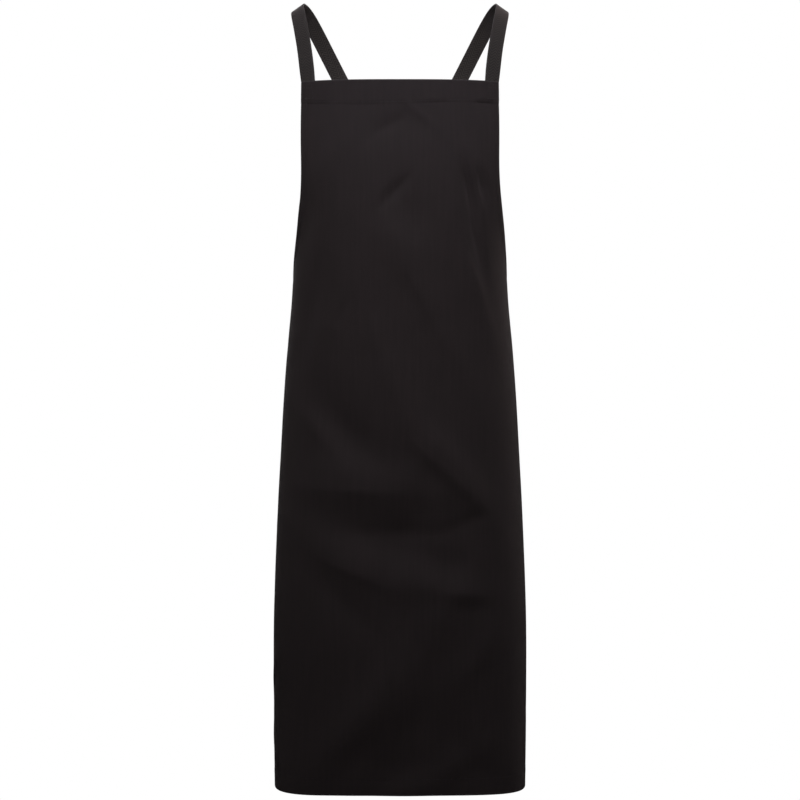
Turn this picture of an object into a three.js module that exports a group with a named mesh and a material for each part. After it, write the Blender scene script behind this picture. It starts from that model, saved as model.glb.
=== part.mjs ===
// Cross back apron, in the form that it takes on its wearer.
//
// Lengths are in millimetres and angles in degrees. The origin lies between the shoulders,
// level with the top of the straps. +Z is up, the wearer faces -Y and +X is to their left.
//
// The cloth is laid out in two cloth coordinates: u runs round the body from the centre of
// the front, positive to the wearer's left, and z is the height. Depth is measured from the
// outer face of the cloth towards the wearer.

import * as THREE from 'three';

// Lengths that the apron is cut and worn to
const BODY_LENGTH = 1000; // top of the bib to the hem
const BIB_DROP = 123; // top of the shoulders to the top of the bib
const BIB_WIDTH = 291; // measured along the cloth
const BIB_SIDE = 94; // straight side of the bib, above the armhole
const ARMHOLE_DROP = 213; // height of the curved armhole edge
const ARMHOLE_SQUARE = 2.3; // 2 is an ellipse, more is squarer
const BACK_GAP = 144; // between the back edges, at the wing corners and at the hem
const BACK_GAP_BELLY = 44; // how much wider that gap is halfway down

// Size of the worn form
const SPREAD = 364; // widest, side to side
const FRONT_DEPTH = 140; // from the shoulder line forward to the hem
const BACK_DEPTH = 128; // from the shoulder line back to the skirt

// Cloth, hems and the clearance between layers
const CLOTH = 1.2;
const GAP = 0.3;
const BIB_HEM = 33;
const SIDE_HEM = 12;
const BOTTOM_HEM = 25;

// Straps
const STRAP_WIDTH = 22.5;
const STRAP_THICKNESS = 2;
const STRAP_TUCK = 30; // length sewn behind the bib and behind each wing
const STRAP_SEAT = 1.0; // how far the flat strap stands off the rounded cloth it is sewn to
const STRAP_LEAD = 14; // stretch past a sewn end that still lies along the cloth
const STRAP_OVERHANG = 1.5; // how far the strap's outer edge stands past the side of the bib
const FREE_TURN = 0.6; // how much of the bib's sideways turn the strap keeps above it
const WING_INSET = 16; // back edge to the middle of the strap
const SHOULDER_SPAN = 292.4; // between the middles of the straps on the shoulders
const SHOULDER_SLOPE = 30;
const BLADE_DROP = 118; // top of the shoulders to where the straps lie flat on the back
const BLADE_DEPTH = 92;
const BLADE_SPAN = 156.5; // between the middles of the straps where they lie flat on the back
const ARCH_PULL = 0.55; // how fully the straps round the shoulder
// How far the strap's round leans over towards its lower end. Below 0 it bows outwards.
const FRONT_SWAY = -0.5;
const BACK_SWAY = 0.17;

// Folds
const FOLD_RISE = 5;
const FLUTE_RISE = 4; // soft flutes of the skirt, at the back of the hem
const FLUTE_PITCH = 92;

// How finely the cloth is divided
const BIB_ROWS = 2; // below the bib's hem
const ARMHOLE_ROWS = 16;
const SKIRT_ROWS = 23;
const ROW_DIP = 0.28; // how far the wings' row hangs at its middle, as a share of ARMHOLE_DROP
const ROW_CROWD = 0.3; // how much closer the armhole's rows lie at its two ends
const COLUMNS = 42;
const ARCH_STEPS = 10;
const TWIST_STEPS = 4; // where a strap turns from the back's flat to the wing's slope
const SECTION_STEPS = 240;
const NORMAL_STEP = 1.5; // reach of the difference that gives a cloth normal

// Horizontal sections of the worn form. drop is a share of BODY_LENGTH below the bib's top,
// wide of half the SPREAD, front of FRONT_DEPTH and back of BACK_DEPTH. square is the
// exponent of the section's superellipse.
const SECTIONS = [
  { drop: 0.0, wide: 0.92, front: 0.715, back: 0.58, square: 3.0 },
  { drop: 0.094, wide: 0.95, front: 0.835, back: 0.62, square: 3.0 },
  { drop: 0.16, wide: 0.91, front: 0.89, back: 0.66, square: 2.9 },
  { drop: 0.235, wide: 0.851, front: 0.915, back: 0.7, square: 2.8 },
  { drop: 0.3, wide: 0.857, front: 0.915, back: 0.75, square: 2.7 },
  { drop: 0.38, wide: 0.896, front: 0.925, back: 0.83, square: 2.6 },
  { drop: 0.45, wide: 0.924, front: 0.945, back: 0.91, square: 2.6 },
  { drop: 0.52, wide: 0.945, front: 0.96, back: 0.97, square: 2.6 },
  { drop: 0.6, wide: 0.968, front: 0.97, back: 1.0, square: 2.7 },
  { drop: 0.7, wide: 0.99, front: 0.985, back: 1.0, square: 2.9 },
  { drop: 0.78, wide: 1.0, front: 0.99, back: 1.0, square: 3.1 },
  { drop: 0.9, wide: 0.996, front: 0.995, back: 1.0, square: 3.5 },
  { drop: 1.0, wide: 0.984, front: 1.0, back: 1.0, square: 4.6 },
];

// Folds of the front, each a soft ridge, or a valley where rise is negative. across is a
// share of half the SPREAD, drop, length and breadth of BODY_LENGTH, and rise of FOLD_RISE.
// length and breadth run from the fold's middle. turn is how far the fold climbs to the
// wearer's left.
const FOLDS = [
  { name: 'waist ridge', across: -0.41, drop: 0.567, turn: -17, length: 0.057, breadth: 0.03, rise: 0.82 },
  { name: 'waist end', across: 0.16, drop: 0.575, turn: -11, length: 0.087, breadth: 0.023, rise: 0.48 },
  { name: 'waist valley', across: -0.08, drop: 0.637, turn: -7, length: 0.079, breadth: 0.036, rise: -1.92 },
  { name: 'belly ridge', across: 0.35, drop: 0.536, turn: -47, length: 0.07, breadth: 0.024, rise: 1.44 },
  { name: 'belly dip', across: -0.37, drop: 0.501, turn: -47, length: 0.072, breadth: 0.026, rise: -1.66 },
  { name: 'belly crest', across: -0.47, drop: 0.439, turn: -41, length: 0.062, breadth: 0.024, rise: -0.46 },
  { name: 'thigh ridge', across: -0.35, drop: 0.679, turn: -30, length: 0.108, breadth: 0.025, rise: 0.76 },
  { name: 'thigh end', across: 0.32, drop: 0.713, turn: -13, length: 0.064, breadth: 0.022, rise: 0.92 },
  { name: 'thigh valley', across: -0.44, drop: 0.735, turn: -44, length: 0.052, breadth: 0.02, rise: -0.66 },
  { name: 'knee ridge', across: -0.13, drop: 0.857, turn: 53, length: 0.175, breadth: 0.03, rise: 1.98 },
  { name: 'knee swell', across: 0.07, drop: 0.867, turn: 36, length: 0.102, breadth: 0.028, rise: 0.6 },
  { name: 'shin ridge', across: 0.31, drop: 0.969, turn: 30, length: 0.079, breadth: 0.02, rise: 0.76 },
  { name: 'shin valley', across: -0.35, drop: 0.944, turn: 30, length: 0.065, breadth: 0.021, rise: -0.6 },
  { name: 'chest swell', across: 0.02, drop: 0.234, turn: -36, length: 0.045, breadth: 0.025, rise: 0.56 },
  { name: 'chest fold', across: -0.07, drop: 0.416, turn: -69, length: 0.088, breadth: 0.023, rise: 0.88 },
  { name: 'rib valley', across: -0.69, drop: 0.309, turn: 72, length: 0.077, breadth: 0.022, rise: -0.7 },
];

const zTop = -BIB_DROP;
const zArmhole = zTop - BIB_SIDE;
const zWing = zArmhole - ARMHOLE_DROP;
const zHem = zTop - BODY_LENGTH;

const CLOTH_FINISH = { color: 0x17161a, roughness: 0.9, metalness: 0 };
const HEM_FINISH = { color: 0x1b1a1d, roughness: 0.9, metalness: 0 };
const STRAP_FINISH = { color: 0x232122, roughness: 0.85, metalness: 0 };

const mix = (from, to, share) => from + (to - from) * share;

// One column of a table at any drop, on a smooth curve through its rows.
function tableValue(rows, column, drop) {
  const at = THREE.MathUtils.clamp(drop, rows[0].drop, rows.at(-1).drop);
  const next = Math.max(1, rows.findIndex((row) => row.drop >= at));
  const slope = (i) => {
    const before = rows[Math.max(i - 1, 0)];
    const after = rows[Math.min(i + 1, rows.length - 1)];
    return (after[column] - before[column]) / (after.drop - before.drop);
  };
  const [from, to] = [rows[next - 1], rows[next]];
  const reach = to.drop - from.drop;
  const t = (at - from.drop) / reach;
  return (
    from[column] * (1 + 2 * t) * (1 - t) ** 2 +
    slope(next - 1) * reach * t * (1 - t) ** 2 +
    to[column] * t * t * (3 - 2 * t) +
    slope(next) * reach * t * t * (t - 1)
  );
}

// Half of the section at one height, from the centre of the front round to the centre of
// the back: its points, and how far along the cloth each lies.
const sections = new Map();

function sectionAt(z) {
  if (sections.has(z)) return sections.get(z);
  const drop = (zTop - z) / BODY_LENGTH;
  const wide = (tableValue(SECTIONS, 'wide', drop) * SPREAD) / 2;
  const front = tableValue(SECTIONS, 'front', drop) * FRONT_DEPTH;
  const back = tableValue(SECTIONS, 'back', drop) * BACK_DEPTH;
  const square = tableValue(SECTIONS, 'square', drop);
  const points = [];
  let along = 0;
  for (let i = 0; i <= SECTION_STEPS; i++) {
    const angle = (Math.PI * i) / SECTION_STEPS;
    const deep = i < SECTION_STEPS / 2 ? front : back;
    const [sin, cos] = [Math.sin(angle), Math.cos(angle)];
    const reach = ((sin / wide) ** square + Math.abs(cos / deep) ** square) ** (-1 / square);
    const [x, y] = [reach * sin, -reach * cos];
    const last = points.at(-1);
    if (last) along += Math.hypot(x - last.x, y - last.y);
    points.push({ x, y, along });
  }
  const section = { points, wide, front, back, square, girth: along };
  sections.set(z, section);
  return section;
}

// How far the cloth lies outside the plain section.
function foldRise(u, z) {
  let rise = 0;
  for (const fold of FOLDS) {
    const turn = THREE.MathUtils.degToRad(fold.turn);
    const across = u - (fold.across * SPREAD) / 2;
    const up = z - (zTop - fold.drop * BODY_LENGTH);
    const along = (across * Math.cos(turn) + up * Math.sin(turn)) / (fold.length * BODY_LENGTH);
    const aside = (up * Math.cos(turn) - across * Math.sin(turn)) / (fold.breadth * BODY_LENGTH);
    rise += fold.rise * FOLD_RISE * Math.exp(-along * along - aside * aside);
  }
  return rise + fluteRise(u, z);
}

// Soft flutes that grow towards the hem, behind the sides only.
function fluteRise(u, z) {
  const round = Math.abs(u) / sectionAt(z).girth;
  const behind = THREE.MathUtils.smoothstep(round, 0.48, 0.72);
  const low = THREE.MathUtils.smoothstep(zWing - z, 0, zWing - zHem);
  return FLUTE_RISE * behind * low * Math.cos((2 * Math.PI * u) / FLUTE_PITCH);
}

// The outer face of the cloth at a place given in cloth coordinates.
function clothPoint(u, z) {
  const section = sectionAt(z);
  const side = Math.sign(u) || 1;
  const { points } = section;
  const next = Math.max(1, points.findIndex((point) => point.along >= Math.abs(u)));
  const [from, to] = [points[next - 1], points[next]];
  const share = (Math.abs(u) - from.along) / (to.along - from.along);
  const x = mix(from.x, to.x, share);
  const y = mix(from.y, to.y, share);
  const deep = y < 0 ? section.front : section.back;
  const out = new THREE.Vector3(
    (side * (x / section.wide) ** (section.square - 1)) / section.wide,
    (Math.sign(y) * Math.abs(y / deep) ** (section.square - 1)) / deep,
    0,
  ).normalize();
  return new THREE.Vector3(side * x, y, z).addScaledVector(out, foldRise(u, z));
}

// A place on the cloth: its point on the outer face, and the direction away from the wearer.
function place(u, z) {
  const round = clothPoint(u + NORMAL_STEP, z).sub(clothPoint(u - NORMAL_STEP, z));
  const up = clothPoint(u, z + NORMAL_STEP).sub(clothPoint(u, z - NORMAL_STEP));
  return { point: clothPoint(u, z), out: round.cross(up).normalize() };
}

function placeBetween(from, to, share) {
  return { point: from.point.clone().lerp(to.point, share), out: from.out.clone().lerp(to.out, share) };
}

// Back edge of the cloth, as its distance round the body.
function backEdge(z) {
  const down = (zWing - z) / (zWing - zHem);
  const gap = BACK_GAP + BACK_GAP_BELLY * Math.sin(Math.PI * down);
  return sectionAt(z).girth - gap / 2;
}

// Rows of the cloth, from the top of the bib to the hem. Each has the place of its outer
// edge, the inner line of the edge hem beside it, and the height of its middle.
function clothRows() {
  const rows = [];
  const straight = (half, z, middle = z) => {
    rows.push({ edge: { u: half, z }, inner: { u: half - SIDE_HEM, z }, middle });
  };
  straight(BIB_WIDTH / 2, zTop);
  for (let i = 0; i < BIB_ROWS; i++) {
    straight(BIB_WIDTH / 2, mix(zTop - BIB_HEM, zArmhole, i / BIB_ROWS));
  }
  const corner = { u: backEdge(zWing), z: zWing };
  const cornerInner = { u: corner.u - SIDE_HEM, z: zWing - SIDE_HEM };
  const wingMiddle = cornerInner.z - ROW_DIP * ARMHOLE_DROP;
  for (let i = 0; i < ARMHOLE_ROWS; i++) {
    const share = i / ARMHOLE_ROWS;
    rows.push({ ...armholeRow(share, corner.u), middle: mix(zArmhole, wingMiddle, share) });
  }
  rows.push({ edge: corner, inner: cornerInner, middle: wingMiddle });
  const zBottomHem = zHem + BOTTOM_HEM;
  for (let i = 1; i <= SKIRT_ROWS; i++) {
    const share = i / SKIRT_ROWS;
    const z = mix(cornerInner.z, zBottomHem, share);
    straight(backEdge(z), z, mix(wingMiddle, zBottomHem, share));
  }
  straight(backEdge(zHem), zHem);
  return rows;
}

// One row's ends on the armhole, whose edge is a quarter of a superellipse round the arm.
function armholeRow(share, wing) {
  const crowded = share - (ROW_CROWD * Math.sin(2 * Math.PI * share)) / (2 * Math.PI);
  const angle = (crowded * Math.PI) / 2;
  const reach = wing - BIB_WIDTH / 2;
  const aside = Math.cos(angle) ** (2 / ARMHOLE_SQUARE);
  const down = Math.sin(angle) ** (2 / ARMHOLE_SQUARE);
  const edge = { u: wing - reach * aside, z: zArmhole - ARMHOLE_DROP * down };
  const inward = new THREE.Vector2(
    -(aside ** (ARMHOLE_SQUARE - 1)) / reach,
    -(down ** (ARMHOLE_SQUARE - 1)) / ARMHOLE_DROP,
  ).setLength(SIDE_HEM);
  return { edge, inner: { u: edge.u + inward.x, z: edge.z + inward.y } };
}

// The places of one row, from the wearer's right edge to their left edge.
function rowPlaces(row) {
  const places = [place(-row.edge.u, row.edge.z)];
  for (let i = 0; i <= COLUMNS; i++) {
    const share = (2 * i) / COLUMNS - 1;
    places.push(place(share * row.inner.u, mix(row.middle, row.inner.z, share * share)));
  }
  places.push(place(row.edge.u, row.edge.z));
  return places;
}

function geometryOf(vertices, triangles) {
  const geometry = new THREE.BufferGeometry();
  const numbers = vertices.flatMap((vertex) => [vertex.x, vertex.y, vertex.z]);
  geometry.setAttribute('position', new THREE.Float32BufferAttribute(numbers, 3));
  geometry.setIndex(triangles.flat());
  geometry.computeVertexNormals();
  return geometry;
}

// A closed wall of cloth under a grid of places, between two depths. Each square of the grid
// is cut along its shorter diagonal, so that it follows the bend of the cloth.
function wall(grid, nearDepth, farDepth) {
  const [rows, columns] = [grid.length, grid[0].length];
  const places = grid.flat();
  const layer = (depth) => places.map((at) => at.point.clone().addScaledVector(at.out, -depth));
  const near = (row, column) => row * columns + column;
  const far = (row, column) => places.length + near(row, column);
  const apart = (from, to) => grid[from[0]][from[1]].point.distanceTo(grid[to[0]][to[1]].point);
  const triangles = [];
  for (let r = 0; r + 1 < rows; r++) {
    for (let c = 0; c + 1 < columns; c++) {
      const corners = [[r, c], [r + 1, c], [r + 1, c + 1], [r, c + 1]];
      if (apart(corners[1], corners[3]) < apart(corners[0], corners[2])) corners.push(corners.shift());
      const [first, second, third, fourth] = corners;
      triangles.push([near(...first), near(...second), near(...third)]);
      triangles.push([near(...first), near(...third), near(...fourth)]);
      triangles.push([far(...first), far(...third), far(...second)]);
      triangles.push([far(...first), far(...fourth), far(...third)]);
    }
  }
  const rim = [];
  for (let c = 0; c + 1 < columns; c++) rim.push([0, c]);
  for (let r = 0; r + 1 < rows; r++) rim.push([r, columns - 1]);
  for (let c = columns - 1; c > 0; c--) rim.push([rows - 1, c]);
  for (let r = rows - 1; r > 0; r--) rim.push([r, 0]);
  rim.forEach((from, i) => {
    const to = rim[(i + 1) % rim.length];
    triangles.push([near(...from), near(...to), far(...to)]);
    triangles.push([near(...from), far(...to), far(...from)]);
  });
  return geometryOf([...layer(nearDepth), ...layer(farDepth)], triangles);
}

// Shortens a grid by the clearance at its first and last row, so that it stays clear of
// the hem it meets there.
function clearEnds(grid) {
  const shorten = (end, beside) => {
    return end.map((at, i) => {
      return placeBetween(at, beside[i], GAP / at.point.distanceTo(beside[i].point));
    });
  };
  const rows = [...grid];
  rows[0] = shorten(grid[0], grid[1]);
  rows[rows.length - 1] = shorten(grid.at(-1), grid.at(-2));
  return rows;
}

// A flat strap through a list of stations, each with the middle of the strap and the
// direction that its outer face looks in.
function ribbon(stations) {
  const edges = stations.map(({ point, out }, i) => {
    const before = stations[Math.max(i - 1, 0)].point;
    const after = stations[Math.min(i + 1, stations.length - 1)].point;
    const along = after.clone().sub(before).normalize();
    const face = out.clone().addScaledVector(along, -out.dot(along)).normalize();
    const across = face.clone().cross(along);
    return [-STRAP_WIDTH / 2, STRAP_WIDTH / 2].map((aside) => {
      return { point: point.clone().addScaledVector(across, aside), out: face };
    });
  });
  return wall(edges, -STRAP_THICKNESS / 2, STRAP_THICKNESS / 2);
}

// The middle of a strap that is sewn to the inside of a hem.
function sewnStation(u, z) {
  const { point, out } = place(u, z);
  const depth = 2 * (CLOTH + GAP) + STRAP_SEAT + STRAP_THICKNESS / 2;
  return { point: point.addScaledVector(out, -depth), out };
}

// Stations on the round of the shoulder, from its top to the start of a straight stretch.
// The strap turns to face as that stretch does early on the way.
function archStations(top, end, direction, sway) {
  const reach = top.point.distanceTo(end.point) * ARCH_PULL;
  const bow = mix(top.point.x, end.point.x, sway);
  const curve = new THREE.CubicBezierCurve3(
    top.point,
    new THREE.Vector3(bow, end.point.y * ARCH_PULL, top.point.z),
    end.point.clone().addScaledVector(direction, -reach),
    end.point,
  );
  return curve.getSpacedPoints(ARCH_STEPS).map((point, i) => {
    return { point, out: top.out.clone().lerp(end.out, Math.sqrt(i / ARCH_STEPS)) };
  });
}

// One strap: from behind its corner of the bib, over its shoulder, across the back and
// behind the wing on the other side. side is 1 for the wearer's left.
function strapStations(side) {
  const slope = THREE.MathUtils.degToRad(SHOULDER_SLOPE);
  const upOut = new THREE.Vector3(side * Math.sin(slope), 0, Math.cos(slope));
  const top = {
    point: new THREE.Vector3((side * SHOULDER_SPAN) / 2, 0, (-STRAP_WIDTH / 2) * Math.sin(slope)),
    out: upOut,
  };
  top.point.addScaledVector(upOut, -STRAP_THICKNESS / 2);

  const bibU = side * ((BIB_WIDTH - STRAP_WIDTH) / 2 + STRAP_OVERHANG);
  const bibTop = sewnStation(bibU, zTop);
  const frontLean = (top.point.x - bibTop.point.x) / (top.point.z - bibTop.point.z);
  const front = (down) => sewnStation(bibU - frontLean * down, zTop - down);
  const frontLead = front(-STRAP_LEAD);
  frontLead.out.x *= FREE_TURN;
  frontLead.out.normalize();
  const intoBib = bibTop.point.clone().sub(frontLead.point).normalize();
  const frontRound = archStations(top, frontLead, intoBib, FRONT_SWAY);

  const wingU = -side * (backEdge(zWing) - WING_INSET);
  const wingTop = sewnStation(wingU, zWing);
  const bladeX = (side * BLADE_SPAN) / 2;
  const backLean = (bladeX - wingTop.point.x) / (-BLADE_DROP - wingTop.point.z);
  const wing = (down) => sewnStation(wingU + backLean * down, zWing - down);
  const onBack = (z) => {
    const x = bladeX + backLean * (z + BLADE_DROP);
    const y = BLADE_DEPTH + (side * (STRAP_THICKNESS + GAP)) / 2;
    return { point: new THREE.Vector3(x, y, z), out: new THREE.Vector3(0, 1, 0) };
  };
  const zCross = -BLADE_DROP - bladeX / backLean;
  const blade = onBack(-BLADE_DROP);
  const afterCross = onBack(zCross - 1.5 * STRAP_WIDTH);
  const alongBack = afterCross.point.clone().sub(blade.point).normalize();
  const backRound = archStations(top, blade, alongBack, BACK_SWAY);

  const wingLead = wing(-STRAP_LEAD);
  const twist = [];
  for (let i = 1; i < TWIST_STEPS; i++) twist.push(placeBetween(afterCross, wingLead, i / TWIST_STEPS));

  return [
    front(STRAP_TUCK),
    front(STRAP_TUCK / 2),
    bibTop,
    ...frontRound.reverse(),
    ...backRound.slice(1),
    onBack(zCross + 1.5 * STRAP_WIDTH),
    afterCross,
    ...twist,
    wingLead,
    wingTop,
    wing(STRAP_TUCK / 2),
    wing(STRAP_TUCK),
  ];
}

function piece(name, geometry, finish) {
  const mesh = new THREE.Mesh(geometry, new THREE.MeshStandardMaterial(finish));
  mesh.name = name;
  return mesh;
}

const grid = clothRows().map(rowPlaces);
const lastRow = grid.length - 1;
const armholeFirst = 1;
const wingRow = 1 + BIB_ROWS + ARMHOLE_ROWS;
const edgeStrip = (from, to, side) => {
  const strip = side > 0 ? (row) => row.slice(-2) : (row) => row.slice(0, 2);
  return clearEnds(grid.slice(from, to + 1).map(strip));
};
const hemNear = CLOTH + GAP;
const hemFar = hemNear + CLOTH;

const apron = new THREE.Group();
apron.add(piece('body_panel', wall(grid, 0, CLOTH), CLOTH_FINISH));
apron.add(piece('bib_hem', wall(grid.slice(0, 2), hemNear, hemFar), HEM_FINISH));
apron.add(piece('bottom_hem', wall(grid.slice(lastRow - 1), hemNear, hemFar), HEM_FINISH));
for (const [hand, side] of [['left', 1], ['right', -1]]) {
  const armholeHem = wall(edgeStrip(armholeFirst, wingRow, side), hemNear, hemFar);
  const backHem = wall(edgeStrip(wingRow, lastRow - 1, side), hemNear, hemFar);
  apron.add(piece(`armhole_hem_${hand}`, armholeHem, HEM_FINISH));
  apron.add(piece(`back_hem_${hand}`, backHem, HEM_FINISH));
  apron.add(piece(`strap_${hand}`, ribbon(strapStations(side)), STRAP_FINISH));
}

export default apron;
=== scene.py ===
"""Cross back apron as it shows: twill cloth with turned and stitched hems, and cotton tape
straps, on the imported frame. Lengths are in millimetres until a mesh is made, then metres.

The cloth is laid out in two cloth coordinates: u runs round the body from the middle of the
front, positive to the wearer's left, and z is the height. Depth is measured from the outer
face of the cloth towards the wearer."""

import math

import bpy
import numpy as np
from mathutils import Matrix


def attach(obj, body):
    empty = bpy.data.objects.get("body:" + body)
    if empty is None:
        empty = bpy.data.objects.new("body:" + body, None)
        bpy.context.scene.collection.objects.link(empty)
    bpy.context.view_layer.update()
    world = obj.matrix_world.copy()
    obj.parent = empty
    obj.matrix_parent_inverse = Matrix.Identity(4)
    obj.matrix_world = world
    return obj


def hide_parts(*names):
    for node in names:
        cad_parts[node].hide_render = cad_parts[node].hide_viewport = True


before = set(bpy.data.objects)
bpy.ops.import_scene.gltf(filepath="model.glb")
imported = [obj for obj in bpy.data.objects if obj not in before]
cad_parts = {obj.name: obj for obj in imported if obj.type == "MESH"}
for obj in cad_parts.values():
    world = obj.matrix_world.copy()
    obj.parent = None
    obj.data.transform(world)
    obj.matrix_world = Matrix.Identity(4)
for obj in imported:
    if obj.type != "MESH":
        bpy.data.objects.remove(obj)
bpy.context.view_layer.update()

# The apron's size, as in its solids
BODY_LENGTH = 1000  # top of the bib to the hem
BIB_DROP = 123  # top of the shoulders to the top of the bib
BIB_WIDTH = 291  # measured along the cloth
BIB_SIDE = 94  # straight side of the bib, above the armhole
ARMHOLE_DROP = 213  # height of the curved armhole edge
ARMHOLE_SQUARE = 2.3  # 2 is an ellipse, more is squarer
BACK_GAP = 144  # between the back edges, at the wing corners and at the hem
BACK_GAP_BELLY = 44  # how much wider that gap is halfway down
SPREAD = 364  # widest, side to side
FRONT_DEPTH = 140  # from the shoulder line forward to the hem
BACK_DEPTH = 128  # from the shoulder line back to the skirt
CLOTH = 1.2  # its thickness
GAP = 0.3  # between layers
BIB_HEM = 33
SIDE_HEM = 12
BOTTOM_HEM = 25

# Straps, as in their solids
STRAP_WIDTH = 22.5
STRAP_THICKNESS = 2
STRAP_TUCK = 30  # length sewn behind the bib and behind each wing
STRAP_SEAT = 1.0  # how far the flat strap stands off the rounded cloth it is sewn to
STRAP_LEAD = 14  # stretch past a sewn end that still lies along the cloth
STRAP_OVERHANG = 1.5  # how far the strap's outer edge stands past the side of the bib
WING_INSET = 16  # back edge to the middle of the strap
SHOULDER_SPAN = 292.4  # between the middles of the straps on the shoulders
SHOULDER_SLOPE = 30
BLADE_DROP = 118  # top of the shoulders to where the straps lie flat on the back
BLADE_DEPTH = 92
BLADE_SPAN = 156.5  # between the middles of the straps where they lie flat on the back
ARCH_PULL = 0.55  # how fully the straps round the shoulder
FRONT_SWAY = -0.5  # how far a strap's round leans over towards its lower end
BACK_SWAY = 0.17
FREE_TURN = 0.6  # how much of the bib's sideways turn the strap keeps above it

# Soft flutes of the skirt, towards the back of the hem
FLUTE_RISE = 4
FLUTE_PITCH = 92
FLUTE_START, FLUTE_FULL = 0.48, 0.72  # where they rise, as shares of half the girth

# How finely the cloth is divided
ROW_DIP = 0.28  # how far the wings' row hangs at its middle, as a share of ARMHOLE_DROP
ROW_CROWD = 0.3  # how much closer the armhole's rows lie at its two ends
NORMAL_STEP = 1.5  # reach of the difference that gives a cloth normal

Z_TOP = -BIB_DROP
Z_ARMHOLE = Z_TOP - BIB_SIDE
Z_WING = Z_ARMHOLE - ARMHOLE_DROP
Z_HEM = Z_TOP - BODY_LENGTH

# Sections of the worn form: drop as a share of BODY_LENGTH below the bib's top, half width of
# half the SPREAD, depth in front of FRONT_DEPTH, depth behind of BACK_DEPTH, and squareness,
# the exponent of the section's superellipse
SECTIONS = np.array([
    (0.0, 0.92, 0.715, 0.58, 3.0),
    (0.094, 0.95, 0.835, 0.62, 3.0),
    (0.16, 0.91, 0.89, 0.66, 2.9),
    (0.235, 0.851, 0.915, 0.7, 2.8),
    (0.3, 0.857, 0.915, 0.75, 2.7),
    (0.38, 0.896, 0.925, 0.83, 2.6),
    (0.45, 0.924, 0.945, 0.91, 2.6),
    (0.52, 0.945, 0.96, 0.97, 2.6),
    (0.6, 0.968, 0.97, 1.0, 2.7),
    (0.7, 0.99, 0.985, 1.0, 2.9),
    (0.78, 1.0, 0.99, 1.0, 3.1),
    (0.9, 0.996, 0.995, 1.0, 3.5),
    (1.0, 0.984, 1.0, 1.0, 4.6),
])

# Folds of the cloth, each a soft ridge, or a valley where its rise is negative: name, u, drop
# below the bib's top, turn, half length, half breadth and rise. turn is how far the fold
# climbs to the wearer's left, in degrees.
FOLDS = [
    ("waist ridge", -74, 567, -17, 57, 30, 4.1),
    ("waist ridge end", 30, 575, -11, 87, 23, 2.4),
    ("waist valley", -14, 637, -7, 79, 36, -9.6),
    ("belly ridge", 64, 536, -47, 70, 24, 7.2),
    ("belly valley", -67, 501, -47, 72, 26, -8.3),
    ("belly furrow", -85, 439, -41, 62, 24, -2.3),
    ("thigh ridge", -64, 679, -30, 108, 25, 3.8),
    ("thigh ridge end", 58, 713, -13, 64, 22, 4.6),
    ("thigh valley", -80, 735, -44, 52, 20, -3.3),
    ("thigh valley end", 102, 742, 2, 28, 12, -1.5),
    ("knee ridge", -24, 857, 53, 175, 31, 9.3),
    ("knee swell", 13, 867, 36, 102, 28, 3.0),
    ("shin ridge", 57, 969, 30, 79, 20, 3.8),
    ("shin valley", -63, 944, 30, 65, 28, -2.0),
    ("underarm crease", 102, 209, -79, 63, 12, -3.2),
    ("underarm pleat", 117, 161, -81, 26, 10, -3.3),
    ("underarm swell", 111, 303, -66, 61, 13, 2.3),
    ("far underarm crease", -143, 170, 93, 48, 16, -2.2),
    ("chest tick", -6, 161, 53, 27, 10, -3.0),
    ("chest swell", 3, 234, -36, 45, 25, 2.8),
    ("chest crease", 17, 308, -48, 49, 13, -0.8),
    ("rib ridge", 68, 368, -64, 93, 17, 2.3),
    ("chest fold", -12, 416, -69, 88, 23, 4.4),
    ("rib valley", -125, 309, 72, 77, 22, -3.5),
    ("band tuck", -14, 65, 34, 28, 8, -2.2),
    ("far thigh fold", 109, 814, 54, 73, 19, 2.3),
    ("hem dip", 33, 961, -5, 86, 18, -1.1),
    ("thigh hollow", 31, 669, -15, 72, 19, -2.6),
    ("arm ridge", 97, 118, -59, 42, 20, 3.6),
    ("chest hollow", 18, 191, -60, 42, 20, -3.6),
    ("waist hollow", -3, 659, 60, 72, 19, -3.1),
    ("far rib hollow", -148, 206, 45, 51, 27, -2.8),
    ("belly hollow", -99, 479, -58, 74, 21, -2.9),
    ("shin swell", -36, 949, 60, 72, 19, 3.1),
    ("side ridge", 94, 572, -59, 74, 20, 2.8),
    ("thigh dip", 64, 701, 60, 42, 20, -2.8),
    ("shin dip", 93, 944, -60, 42, 20, -2.8),
    ("waist crest", -109, 587, -14, 46, 20, 2.0),
    ("rib swell", 25, 288, -60, 42, 20, 2.8),
    ("far arm ridge", -96, 111, 59, 42, 20, 2.5),
    ("thigh hollow end", 17, 795, 60, 42, 19, -2.5),
    ("bib dip", -7, 68, 15, 42, 20, -2.9),
    ("belly swell", 31, 539, 45, 72, 19, 1.5),
    ("belly ridge line", 68, 557, -42, 65, 8, 2.1),
    ("waist ridge line", -70, 578, -3, 68, 8, 1.4),
    ("waist trough", 3, 636, 0, 86, 11, -1.7),
    ("waist tip", 98, 620, 21, 35, 10, -2.5),
    ("arm crease", 100, 160, -74, 39, 7, -7.2),
    ("arm crease end", 113, 227, -76, 44, 7, -4.7),
    ("arm pleat", 118, 147, -70, 21, 6, -3.9),
    ("arm crest", 114, 171, -75, 24, 6, 2.2),
    ("arm crest end", 109, 280, -66, 34, 7, 1.4),
    ("tick crease", -7, 159, 45, 29, 7, -2.6),
    ("band crest", 29, 51, -42, 28, 6, 2.1),
    ("belly ridge end", -121, 493, -47, 39, 12, 2.2),
    ("thigh ridge line", -67, 691, -22, 56, 8, 1.3),
    ("thigh ridge line end", 86, 721, -4, 28, 7, 1.3),
    ("hem flare", 3, 1003, 0, 52, 22, 2.2),
    ("rib ridge line", 39, 329, -62, 61, 8, 1.1),
]

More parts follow.
